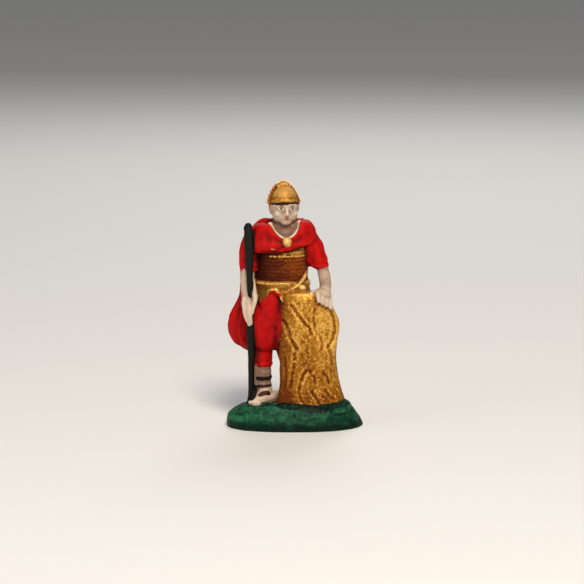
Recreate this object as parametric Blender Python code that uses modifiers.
"""A Roman soldier leaning on his tall shield, press-moulded in clay in one piece with a low grassy base.

The clay is laid up from overlapping lumps, coils and lofts, fused into one skin, softened as a mould
softens it, and cut flat underneath. The figure faces -Y and stands on the XY plane. The base is laid
out in metres. The figure is laid out in modules, of which 36 make his height, measured from the
ground that he stands on.
"""

import math

import bmesh
import bpy
from mathutils import Matrix, Vector

MM = 0.001

# Driving sizes
BASE_LENGTH = 22.0 * MM
BASE_DEPTH = 14.0 * MM
BASE_HEIGHT = 4.0 * MM
FIGURE_HEIGHT = 36.0 * MM
MODULE = FIGURE_HEIGHT / 36

# The clay's skin
CLAY_GRAIN = 0.17 * MM
SOFTENING_PASSES = 3
SKIN_TRIANGLES = 9700
FLOOR_MARGIN = 2 * MM

# Paint colours, roughness and metallic value of the fired and painted clay
PAINT = ((0.55, 0.30, 0.10, 1.0), 0.5, 0.35)

GROUND = Matrix.Translation((0, 0, BASE_HEIGHT)) @ Matrix.Scale(MODULE, 4)
RING_POINTS = 128
STEPS_BETWEEN_STATIONS = 6

clay = []


def lay_on(mesh, frame):
    """Adds a closed mesh to the clay, moved into place."""
    mesh.transform(frame)
    clay.append(mesh)


def ball(centre, radii, turn=(0, 0, 0), frame=GROUND):
    """A lump of clay: an ellipsoid turned by degrees about X, then Y, then Z."""
    bpy.ops.mesh.primitive_uv_sphere_add(segments=32, ring_count=20, radius=1)
    sphere = bpy.context.object
    mesh = sphere.data.copy()
    bpy.data.objects.remove(sphere)
    rotation = Matrix.Identity(4)
    for degrees, axis in zip(turn, "XYZ"):
        rotation = Matrix.Rotation(math.radians(degrees), 4, axis) @ rotation
    lay_on(mesh, frame @ Matrix.Translation(centre) @ rotation @ Matrix.Diagonal((*radii, 1)))


def coil(stations, frame=GROUND):
    """A rolled coil of clay through stations of x, y, z and radius, with round ends."""
    curve = bpy.data.curves.new("coil", "CURVE")
    curve.dimensions = "3D"
    curve.resolution_u = 6
    curve.bevel_depth = 1
    curve.bevel_resolution = 5
    curve.use_fill_caps = True
    spline = curve.splines.new("BEZIER")
    spline.bezier_points.add(len(stations) - 1)
    for point, (x, y, z, radius) in zip(spline.bezier_points, stations):
        point.co = (x, y, z)
        point.radius = radius
        point.handle_left_type = point.handle_right_type = "AUTO"
    holder = bpy.data.objects.new("coil", curve)
    bpy.context.scene.collection.objects.link(holder)
    bpy.context.view_layer.update()
    graph = bpy.context.evaluated_depsgraph_get()
    mesh = bpy.data.meshes.new_from_object(holder.evaluated_get(graph))
    bpy.data.objects.remove(holder)
    welded = bmesh.new()
    welded.from_mesh(mesh)
    bmesh.ops.remove_doubles(welded, verts=welded.verts, dist=1e-5)
    bmesh.ops.recalc_face_normals(welded, faces=welded.faces)
    welded.to_mesh(mesh)
    welded.free()
    lay_on(mesh, frame)
    for x, y, z, radius in (stations[0], stations[-1]):
        ball((x, y, z), (radius, radius, radius), frame=frame)


def turned(profile, scale=(1, 1, 1), frame=GROUND):
    """A turned lump: a profile of radius and height, from the top down, spun about Z with a Screw."""
    mesh = bpy.data.meshes.new("turned")
    points = [(radius, 0, height) for radius, height in profile]
    mesh.from_pydata(points, [(i, i + 1) for i in range(len(points) - 1)], [])
    holder = bpy.data.objects.new("turned", mesh)
    bpy.context.scene.collection.objects.link(holder)
    spin = holder.modifiers.new("spin", "SCREW")
    spin.steps = spin.render_steps = RING_POINTS
    spin.use_merge_vertices = True
    spin.merge_threshold = 1e-5
    bpy.context.view_layer.update()
    graph = bpy.context.evaluated_depsgraph_get()
    solid = bpy.data.meshes.new_from_object(holder.evaluated_get(graph))
    bpy.data.objects.remove(holder)
    lay_on(solid, frame @ Matrix.Diagonal((*scale, 1)))


def loft(rings, frame=GROUND):
    """A skin over rings that all have as many points, listed from the bottom up, with flat ends."""
    skin = bmesh.new()
    rows = [[skin.verts.new(point) for point in ring] for ring in rings]
    for lower, upper in zip(rows, rows[1:]):
        for i in range(len(lower)):
            j = (i + 1) % len(lower)
            skin.faces.new((lower[i], lower[j], upper[j], upper[i]))
    skin.faces.new(reversed(rows[0]))
    skin.faces.new(rows[-1])
    mesh = bpy.data.meshes.new("loft")
    skin.to_mesh(mesh)
    skin.free()
    lay_on(mesh, frame)


def between(stations):
    """The stations with smooth steps between them, by a Catmull-Rom curve through each value."""
    smooth = []
    last = len(stations) - 1
    for i in range(last):
        before, start, end, after = (stations[max(0, min(last, i + k))] for k in (-1, 0, 1, 2))
        for step in range(STEPS_BETWEEN_STATIONS):
            t = step / STEPS_BETWEEN_STATIONS
            smooth.append([
                0.5 * (2 * b + (c - a) * t + (2 * a - 5 * b + 4 * c - d) * t**2 + (3 * b - a - 3 * c + d) * t**3)
                for a, b, c, d in zip(before, start, end, after)
            ])
    smooth.append(list(stations[-1]))
    return smooth


def ring(z, left, right, front, back, squareness=2.0, wave=None, lift=None):
    """A level ring between four sides. Angle 0 is +X and 270 the front. A wave moves it out, a lift up."""
    x, y = (left + right) / 2, (front + back) / 2
    half_width, half_depth = (right - left) / 2, (back - front) / 2
    points = []
    for i in range(RING_POINTS):
        angle = 2 * math.pi * i / RING_POINTS
        across, along = math.cos(angle), math.sin(angle)
        out = (abs(across) ** squareness + abs(along) ** squareness) ** (-1 / squareness)
        out *= 1 + (wave(angle) if wave else 0)
        points.append((
            x + out * half_width * across,
            y + out * half_depth * along,
            z + (lift(angle) if lift else 0),
        ))
    return points


def frontness(angle):
    """1 at the front of a ring, 0 at its sides and back."""
    return max(0.0, -math.sin(angle))


# The grassy base: a slab with a steep front bank and gentler ends, falling away to the back.
# Height as a share of the base's height, then left, right, front and back as shares of its half sides
BASE_STATIONS = (
    (-0.30, -0.97, 0.97, -0.97, 0.97),
    (0.00, -1.00, 1.00, -1.00, 1.00),
    (0.25, -1.00, 0.965, -0.985, 0.955),
    (0.50, -0.97, 0.91, -0.95, 0.83),
    (0.75, -0.85, 0.85, -0.89, 0.60),
    (0.88, -0.74, 0.80, -0.83, 0.40),
    (0.97, -0.62, 0.74, -0.76, 0.20),
    (1.02, -0.46, 0.66, -0.60, 0.00),
)
BASE_SQUARENESS = 2.3
BASE_WAVE = 0.012


def base():
    def wave(angle):
        return BASE_WAVE * (math.cos(3 * angle + 0.8) + 0.6 * math.cos(5 * angle - 0.4))

    half_length, half_depth = BASE_LENGTH / 2, BASE_DEPTH / 2
    rings = []
    for height, left, right, front, back in between(BASE_STATIONS):
        sides = (left * half_length, right * half_length, front * half_depth, back * half_depth)
        rings.append(ring(height * BASE_HEIGHT, *sides, BASE_SQUARENESS, wave))
    loft(rings, Matrix.Identity(4))
    ball((6.2, -1.6, -0.7), (3.1, 3.2, 1.5))
    ball((-0.5, -0.5, -0.9), (5.5, 3.6, 1.2))


# The shield: a tall block with a bowed front, a flared foot and a sloping right shoulder.
# Height, left, right, front and back in modules
SHIELD_STATIONS = (
    (-1.2, -2.8, 8.6, -5.6, -0.2),
    (0.3, -2.65, 8.3, -5.45, -0.4),
    (1.3, -2.5, 8.0, -5.3, -0.5),
    (3.1, -2.3, 7.4, -5.05, -0.6),
    (4.7, -2.25, 7.08, -4.9, -0.7),
    (7.6, -2.3, 6.8, -4.75, -0.8),
    (10.2, -2.38, 7.0, -4.75, -0.8),
    (12.7, -2.3, 7.33, -4.8, -0.8),
    (14.3, -2.2, 6.9, -4.75, -0.8),
    (16.2, -2.1, 6.0, -4.65, -0.9),
    (17.3, -2.0, 5.3, -4.5, -1.0),
    (17.95, -1.75, 4.6, -4.2, -1.3),
    (18.2, -0.8, 3.4, -3.5, -1.9),
)
SHIELD_SQUARENESS = 2.8
# Creases in the shield's front: points across and up, with the groove's width and depth
SHIELD_CREASES = (
    (((-0.4, 16.2), (0.5, 14.9), (1.6, 13.4), (2.4, 12.7), (2.8, 11.5)), 0.36, 0.36),
    (((3.4, 15.9), (3.1, 14.0), (3.4, 12.2)), 0.36, 0.20),
    (((-1.6, 13.6), (-0.9, 12.3), (-0.5, 10.8), (0.5, 9.1)), 0.38, 0.36),
    (((6.1, 15.0), (6.5, 13.6), (6.5, 12.0), (6.1, 10.4), (5.5, 9.6)), 0.38, 0.34),
    (((5.5, 9.6), (6.0, 8.2), (6.1, 6.6)), 0.34, 0.24),
    (((1.2, 4.0), (1.5, 5.0), (2.1, 5.6), (2.8, 5.6)), 0.36, 0.36),
    (((2.5, 5.3), (3.2, 4.6), (3.4, 3.6)), 0.32, 0.22),
    (((4.6, 5.4), (5.3, 4.6), (5.6, 3.6)), 0.34, 0.26),
    (((2.9, 2.3), (3.5, 1.3), (4.0, 0.4)), 0.34, 0.30),
    (((0.2, 8.4), (0.0, 6.0), (-0.5, 3.0)), 0.36, 0.20),
    (((1.0, 3.6), (0.8, 2.2), (1.3, 0.6)), 0.34, 0.22),
    (((5.0, 2.6), (5.6, 1.6), (6.4, 1.0)), 0.34, 0.20),
)
# Swellings on the front: centre across and up, half width and half height, and how far they stand out
SHIELD_SWELLINGS = (
    ((0.4, 12.0), (1.2, 2.2), 0.30),
    ((4.6, 13.0), (1.3, 3.2), 0.28),
    ((4.4, 7.9), (1.4, 2.2), 0.30),
    ((1.6, 7.6), (1.2, 1.8), -0.15),
    ((4.2, 2.9), (1.4, 1.4), 0.22),
    ((2.2, 3.4), (0.7, 1.0), 0.22),
)


def distance_to_path(x, z, path):
    """How far a spot on the shield's front lies from a crease."""
    nearest = math.inf
    spot = Vector((x, z))
    for start, end in zip(path, path[1:]):
        start, end = Vector(start), Vector(end)
        run = end - start
        share = max(0.0, min(1.0, (spot - start).dot(run) / run.length_squared))
        nearest = min(nearest, (spot - start - share * run).length)
    return nearest


def shield_relief(x, z):
    """How far the shield's front stands out at a spot: up on a swelling, down in a crease."""
    relief = 0.0
    for (centre_x, centre_z), (half_width, half_height), height in SHIELD_SWELLINGS:
        off = ((x - centre_x) / half_width) ** 2 + ((z - centre_z) / half_height) ** 2
        relief += height * math.exp(-off)
    for path, width, depth in SHIELD_CREASES:
        relief -= depth * math.exp(-((distance_to_path(x, z, path) / width) ** 2))
    return relief


def shield():
    rings = []
    for z, left, right, front, back in between(SHIELD_STATIONS):
        level = []
        for x, y, height in ring(z, left, right, front, back, SHIELD_SQUARENESS):
            faces_front = max(0.0, (front + back) / 2 - y) / ((back - front) / 2)
            level.append((x, y - faces_front * shield_relief(x, z), height))
        rings.append(level)
    loft(rings)


# The leg and foot that show, on his right, and the leg behind the shield
FOOT_TURN = 33


def legs():
    coil(((-4.9, -0.8, 11.0, 1.7), (-4.92, -0.9, 8.4, 1.55), (-4.94, -0.95, 6.35, 1.42)))
    coil(((-4.93, -1.0, 6.6, 1.30), (-4.95, -1.1, 4.6, 1.33), (-4.92, -1.3, 2.7, 1.16), (-4.8, -1.4, 1.4, 1.15)))
    ball((-4.9, -2.6, 0.45), (2.8, 1.15, 0.85), (0, 0, FOOT_TURN))
    ball((-3.2, -1.4, 0.8), (1.05, 1.0, 0.95))
    ball((-5.1, -2.6, 1.1), (1.75, 1.05, 1.05), (0, 24, FOOT_TURN))
    ball((-6.6, -3.8, 0.35), (1.05, 0.95, 0.55), (0, 0, FOOT_TURN))
    coil(((0.7, 0.2, 11.0, 1.85), (0.8, 0.3, 8.4, 1.7), (0.9, 0.35, 6.35, 1.60)))
    coil(((0.9, 0.4, 6.6, 1.42), (0.95, 0.45, 4.6, 1.40), (0.95, 0.4, 2.7, 1.12), (0.95, 0.2, 1.0, 1.15)))
    ball((0.95, -0.5, 0.45), (1.15, 2.2, 0.85))


# The tunic blouses over the thighs and tucks in at its hem.
# Height, left, right, front and back in modules
TUNIC_STATIONS = (
    (8.9, -6.3, 2.0, -2.4, 2.0),
    (9.5, -6.75, 2.3, -2.95, 2.4),
    (10.8, -7.0, 2.7, -3.5, 2.8),
    (12.6, -6.95, 2.85, -3.75, 2.9),
    (14.8, -6.8, 2.7, -3.7, 2.8),
    (17.0, -6.55, 2.45, -3.4, 2.6),
    (18.6, -6.35, 2.3, -3.1, 2.5),
    (20.0, -6.1, 2.1, -2.8, 2.4),
)
TUNIC_FOLDS = 13
TUNIC_FOLD_DEPTH = 0.045


def tunic():
    rings = []
    for z, left, right, front, back in between(TUNIC_STATIONS):
        fall = max(0.0, min(1.0, (18.5 - z) / 6))
        rings.append(ring(
            z, left, right, front, back, 2.3,
            lambda angle, fall=fall: TUNIC_FOLD_DEPTH * fall * math.cos(TUNIC_FOLDS * angle + 0.7),
        ))
    loft(rings)
    ball((-4.7, -1.75, 12.4), (2.6, 2.15, 4.3))
    coil(((-2.4, 0.6, 10.2, 1.4), (-2.05, 0.6, 8.2, 0.9), (-1.8, 0.6, 6.7, 0.6)))


# The ribbed cuirass, with the belt and the skirt of gilt flaps below it
CUIRASS_TOP = 26.0
CUIRASS_BOTTOM = 19.2
CUIRASS_RIBS = 11
CUIRASS_RIB_HEIGHT = 0.16
CUIRASS_FRAME = GROUND @ Matrix.Translation((-1.98, -0.15, 0))


def cuirass():
    steps_per_rib = 6
    profile = [(0, CUIRASS_TOP)]
    count = CUIRASS_RIBS * steps_per_rib
    for i in range(count + 1):
        share = i / count
        height = CUIRASS_TOP + (CUIRASS_BOTTOM - CUIRASS_TOP) * share
        waist = 4.18 + 0.22 * math.cos(2 * math.pi * (share - 0.15))
        profile.append((waist + CUIRASS_RIB_HEIGHT * abs(math.sin(math.pi * share * CUIRASS_RIBS)), height))
    profile.append((0, CUIRASS_BOTTOM))
    turned(profile, (1, 0.70, 1), CUIRASS_FRAME)
    belt = [(0, 19.75), (4.25, 19.75), (4.55, 19.5), (4.6, 19.1), (4.5, 18.75), (4.2, 18.6), (0, 18.6)]
    turned(belt, (1, 0.72, 1), CUIRASS_FRAME)
    ball((1.25, -2.8, 18.85), (0.6, 0.42, 0.55))


# Height, left, right, front and back of the gilt skirt in modules
SKIRT_STATIONS = (
    (16.7, -6.95, 2.75, -3.80, 2.9),
    (17.3, -6.9, 2.75, -3.85, 2.95),
    (18.2, -6.7, 2.6, -3.6, 2.8),
    (19.0, -6.4, 2.4, -3.2, 2.6),
)
SKIRT_FLAPS = 18


def gilt_skirt():
    def hem(angle):
        across = (angle - math.radians(250)) / math.radians(14)
        return 2.2 * math.exp(-across * across) - 0.25 * abs(math.cos(SKIRT_FLAPS / 2 * angle))

    rings = []
    for z, left, right, front, back in between(SKIRT_STATIONS):
        drop = (SKIRT_STATIONS[-1][0] - z) / (SKIRT_STATIONS[-1][0] - SKIRT_STATIONS[0][0])
        rings.append(ring(z, left, right, front, back, 2.2, None, lambda angle, drop=drop: drop * hem(angle)))
    loft(rings)


# The mantle lies round the shoulders, with a V-shaped neck and a brooch.
# Height, left, right, front and back in modules, and how far the front dips for the neck
MANTLE_STATIONS = (
    (24.6, -7.3, 3.0, -3.55, 3.2, 0.0),
    (24.9, -7.7, 3.4, -3.95, 3.5, 0.0),
    (25.9, -7.85, 3.7, -4.0, 3.5, 0.0),
    (27.2, -7.6, 3.6, -3.8, 3.3, 0.4),
    (28.2, -7.15, 3.15, -3.55, 2.9, 1.2),
    (28.9, -6.3, 2.5, -3.35, 2.4, 1.9),
    (29.15, -4.9, 1.6, -3.15, 1.8, 2.3),
    (28.95, -3.9, 1.0, -2.9, 1.3, 2.2),
)
MANTLE_HEM_RISE = 1.2
SHOULDER_LEAN = 0.3
NECK_TURN = 0.1


def mantle():
    rings = []
    for z, left, right, front, back, dip in between(MANTLE_STATIONS):
        low = max(0.0, 1 - (z - 24.6) / 2.5)

        def lift(angle, dip=dip, low=low):
            side = max(0.0, math.cos(angle)) ** 2
            lean = SHOULDER_LEAN * math.cos(angle)
            return MANTLE_HEM_RISE * low * side + lean - dip * frontness(angle - NECK_TURN) ** 3

        def wave(angle, low=low):
            return 0.022 * low * math.cos(11 * angle + 1.0)

        rings.append(ring(z, left, right, front, back, 2.25, wave, lift))
    loft(rings)
    ball((-1.15, -3.95, 26.35), (0.78, 0.45, 0.78))


# The cloak hangs behind him and billows out on his right.
# Height, left, right, front and back in modules
CLOAK_STATIONS = (
    (7.75, -7.6, -1.2, 1.2, 3.4),
    (8.2, -8.4, 0.6, 0.4, 4.3),
    (9.1, -9.4, 1.3, -0.1, 4.8),
    (10.5, -10.2, 1.8, -0.3, 5.1),
    (12.1, -10.3, 2.0, -0.3, 5.1),
    (13.8, -9.9, 2.0, -0.2, 5.0),
    (15.4, -9.2, 2.0, 0.0, 4.8),
    (17.2, -8.75, 2.0, 0.1, 4.7),
    (20.0, -8.6, 2.0, 0.3, 4.4),
    (23.0, -8.5, 2.2, 0.3, 4.1),
    (26.0, -7.8, 3.1, 0.2, 3.8),
    (28.2, -6.7, 2.7, 0.2, 3.2),
    (29.4, -5.2, 1.6, 0.2, 2.3),
)
CLOAK_FOLDS = 14
CLOAK_FOLD_DEPTH = 0.055


def cloak():
    rings = []
    for z, left, right, front, back in between(CLOAK_STATIONS):
        fall = max(0.0, min(1.0, (27.0 - z) / 12))
        rings.append(ring(
            z, left, right, front, back, 2.4,
            lambda angle, fall=fall: CLOAK_FOLD_DEPTH * fall * math.cos(CLOAK_FOLDS * angle + 0.5),
        ))
    loft(rings)


# The arms: the right one holds the staff, and the left hand lies on the shield's shoulder
def right_arm():
    coil(((-5.95, -0.1, 26.6, 1.95), (-6.95, -0.5, 24.4, 1.78), (-7.15, -0.8, 22.4, 1.64)))
    coil(((-7.3, -0.9, 23.0, 1.25), (-7.45, -1.5, 20.0, 1.24), (-7.4, -2.0, 17.8, 1.1), (-7.35, -2.4, 16.4, 1.0)))
    ball((-7.4, -2.6, 15.9), (1.0, 0.8, 1.3))
    for i in range(4):
        spread = i - 1.5
        coil((
            (-7.75 + 0.2 * spread, -3.1 + 0.1 * abs(spread), 15.9 + 0.1 * i, 0.40),
            (-7.6 + 0.15 * spread, -3.45 + 0.1 * abs(spread), 14.4 + 0.25 * i, 0.36),
            (-7.2 + 0.10 * spread, -3.4 + 0.10 * abs(spread), 12.8 + 0.5 * i, 0.26),
        ))
    coil(((-6.6, -2.7, 18.2, 0.50), (-6.2, -3.2, 16.9, 0.46), (-6.5, -3.4, 15.4, 0.30)))


def left_arm():
    coil(((1.5, 0.0, 27.0, 1.95), (3.0, -0.4, 24.8, 1.85), (3.95, -0.7, 22.9, 1.50)))
    ball((2.7, -0.4, 23.6), (1.3, 1.4, 1.8))
    coil(((4.2, -0.7, 23.2, 1.05), (4.85, -1.2, 20.6, 0.98), (5.05, -1.9, 18.9, 1.0), (4.95, -2.8, 18.2, 1.05)))
    ball((4.7, -3.1, 17.7), (1.4, 1.5, 1.05), (0, 20, 0))
    for i in range(4):
        across = 3.75 + 0.64 * i
        top = 18.1 - 0.34 * i
        coil((
            (across, -3.5, top, 0.42),
            (across + 0.12, -4.55, top - 0.3, 0.42),
            (across + 0.2, -4.85, top - 1.2, 0.34),
        ))


# The staff: swelling to its top, thinnest at the hand, footed on the ground and webbed to the body
def staff():
    coil((
        (-7.2, -2.4, 28.75, 0.50),
        (-7.15, -2.6, 27.3, 0.68),
        (-7.1, -2.8, 25.6, 0.72),
        (-7.1, -2.95, 23.6, 0.62),
        (-7.1, -3.0, 20.6, 0.48),
        (-7.1, -3.05, 17.5, 0.38),
        (-7.05, -3.0, 14.0, 0.45),
        (-7.0, -2.9, 11.5, 0.60),
        (-6.95, -2.6, 8.4, 0.55),
        (-6.75, -2.3, 4.5, 0.46),
        (-6.75, -2.2, 1.4, 0.48),
        (-6.9, -2.2, -0.4, 0.62),
    ))
    coil(((-6.5, -1.3, 27.8, 0.7), (-6.7, -1.7, 24.0, 0.9)))
    coil(((-6.4, -1.9, 10.0, 0.7), (-6.15, -1.9, 7.5, 0.6), (-6.0, -1.8, 1.0, 0.5)))


# The head turns a little to his left and looks down past the shield
HEAD_TURN = 11
HEAD_NOD = 6
HEAD_FRAME = (
    GROUND
    @ Matrix.Translation((-1.55, -1.3, 31.8))
    @ Matrix.Rotation(math.radians(HEAD_TURN), 4, "Z")
    @ Matrix.Rotation(math.radians(HEAD_NOD), 4, "X")
)
HELMET_TILT = 10
HELMET_FRAME = (
    GROUND
    @ Matrix.Translation((-1.6, -1.15, 32.35))
    @ Matrix.Rotation(math.radians(HEAD_TURN), 4, "Z")
    @ Matrix.Rotation(math.radians(-HELMET_TILT), 4, "X")
)
# Radius and height of the skull cap's outline from its top down to its rim
HELMET_PROFILE = (
    (0.0, 2.95),
    (0.6, 2.88),
    (1.15, 2.6),
    (1.65, 2.1),
    (2.0, 1.45),
    (2.25, 0.75),
    (2.35, 0.2),
    (2.45, -0.05),
    (2.45, -0.3),
    (2.25, -0.5),
    (0.0, -0.5),
)
# The crest runs from ear to ear: half its span, its rise, and how squarely it arches
CREST_HALF_SPAN = 2.25
CREST_RISE = 3.2
CREST_ARCH = 1.7
CREST_THICKNESS = 0.36


def head():
    coil(((-1.5, -0.4, 27.4, 2.0), (-1.5, -0.8, 29.4, 1.8), (-1.55, -1.1, 31.0, 1.7)))
    ball((-1.3, -1.7, 27.9), (2.2, 1.6, 1.8))
    ball((0, 0, 0.1), (2.33, 2.5, 2.8), frame=HEAD_FRAME)
    ball((0, -0.8, -1.3), (2.0, 1.7, 1.5), frame=HEAD_FRAME)
    ball((0, -1.95, -2.35), (0.85, 0.62, 0.6), frame=HEAD_FRAME)
    ball((0, -2.5, 0.0), (0.36, 0.42, 0.75), (-16, 0, 0), frame=HEAD_FRAME)
    ball((0, -2.1, 1.05), (1.7, 0.55, 0.32), frame=HEAD_FRAME)
    ball((0, -2.2, -1.35), (0.6, 0.32, 0.24), frame=HEAD_FRAME)


def helmet():
    turned(HELMET_PROFILE, (1, 1.15, 1), HELMET_FRAME)
    brim = []
    for degrees in range(0, 181, 20):
        angle = math.radians(degrees)
        brim.append((2.3 * math.cos(angle), 0.1 - 2.68 * math.sin(angle), -0.15, 0.24 + 0.14 * math.sin(angle)))
    coil(brim, frame=HELMET_FRAME)
    crest = []
    for degrees in range(-90, 91, 15):
        across, up = math.sin(math.radians(degrees)), math.cos(math.radians(degrees))
        crest.append((
            CREST_HALF_SPAN * math.copysign(abs(across) ** (2 / CREST_ARCH), across),
            0.1,
            CREST_RISE * max(0.0, up) ** (2 / CREST_ARCH) - 0.1,
            CREST_THICKNESS,
        ))
    coil(crest, frame=HELMET_FRAME)
    ball((0, 0.1, 3.05), (0.8, 0.62, 0.62), frame=HELMET_FRAME)
    ball((0, 1.2, -0.7), (2.15, 1.8, 1.4), frame=HELMET_FRAME)
    for side in (-1, 1):
        coil(((side * 2.2, 0.1, 0.2, 0.34), (side * 2.15, 0.0, -1.0, 0.3)), frame=HELMET_FRAME)


def paint():
    """The painted clay's material."""
    colour, roughness, metallic = PAINT
    material = bpy.data.materials.new("painted_clay")
    material.use_nodes = True
    shader = material.node_tree.nodes["Principled BSDF"]
    shader.inputs["Base Color"].default_value = colour
    shader.inputs["Roughness"].default_value = roughness
    shader.inputs["Metallic"].default_value = metallic
    return material


def floor_cutter(collection):
    """A block that the underside is cut flat with."""
    bpy.ops.mesh.primitive_cube_add(size=1)
    block = bpy.context.object
    block.name = "floor_cutter"
    block.location = (0, 0, -FLOOR_MARGIN)
    block.scale = (2 * BASE_LENGTH, 2 * BASE_LENGTH, 2 * FLOOR_MARGIN)
    block.hide_render = True
    block.display_type = "WIRE"
    for old in list(block.users_collection):
        old.objects.unlink(block)
    collection.objects.link(block)
    return block


def span(values):
    """The lowest and the highest of some values."""
    values = list(values)
    return min(values), max(values)


def fuse(name, collection, cutters):
    """One skin over all the clay, centred, softened, thinned to few triangles and cut flat underneath."""
    joined = bmesh.new()
    for mesh in clay:
        joined.from_mesh(mesh)
        bpy.data.meshes.remove(mesh)
    middle = [sum(span(vert.co[axis] for vert in joined.verts)) / 2 for axis in (0, 1)]
    bmesh.ops.translate(joined, verts=joined.verts, vec=(-middle[0], -middle[1], 0))
    mesh = bpy.data.meshes.new(name)
    joined.to_mesh(mesh)
    joined.free()
    figure = bpy.data.objects.new(name, mesh)
    collection.objects.link(figure)
    skin = figure.modifiers.new("one skin", "REMESH")
    skin.mode = "VOXEL"
    skin.voxel_size = CLAY_GRAIN
    soften = figure.modifiers.new("soften", "SMOOTH")
    soften.factor = 0.5
    soften.iterations = SOFTENING_PASSES
    bpy.context.view_layer.update()
    fine = figure.evaluated_get(bpy.context.evaluated_depsgraph_get()).data
    thin = figure.modifiers.new("thin", "DECIMATE")
    thin.ratio = SKIN_TRIANGLES / (2 * len(fine.polygons))
    flat = figure.modifiers.new("flat underside", "BOOLEAN")
    flat.operation = "DIFFERENCE"
    flat.object = floor_cutter(cutters)
    return figure


def main():
    for old in list(bpy.data.objects):
        bpy.data.objects.remove(old)
    collection = bpy.data.collections.new("roman_soldier_statue")
    cutters = bpy.data.collections.new("cutters")
    for made in (collection, cutters):
        bpy.context.scene.collection.children.link(made)
    for piece in (
        base, shield, legs, tunic, cuirass, gilt_skirt, cloak, mantle, right_arm, left_arm, staff, head, helmet,
    ):
        piece()
    figure = fuse("roman_soldier", collection, cutters)
    figure.data.materials.append(paint())


main()
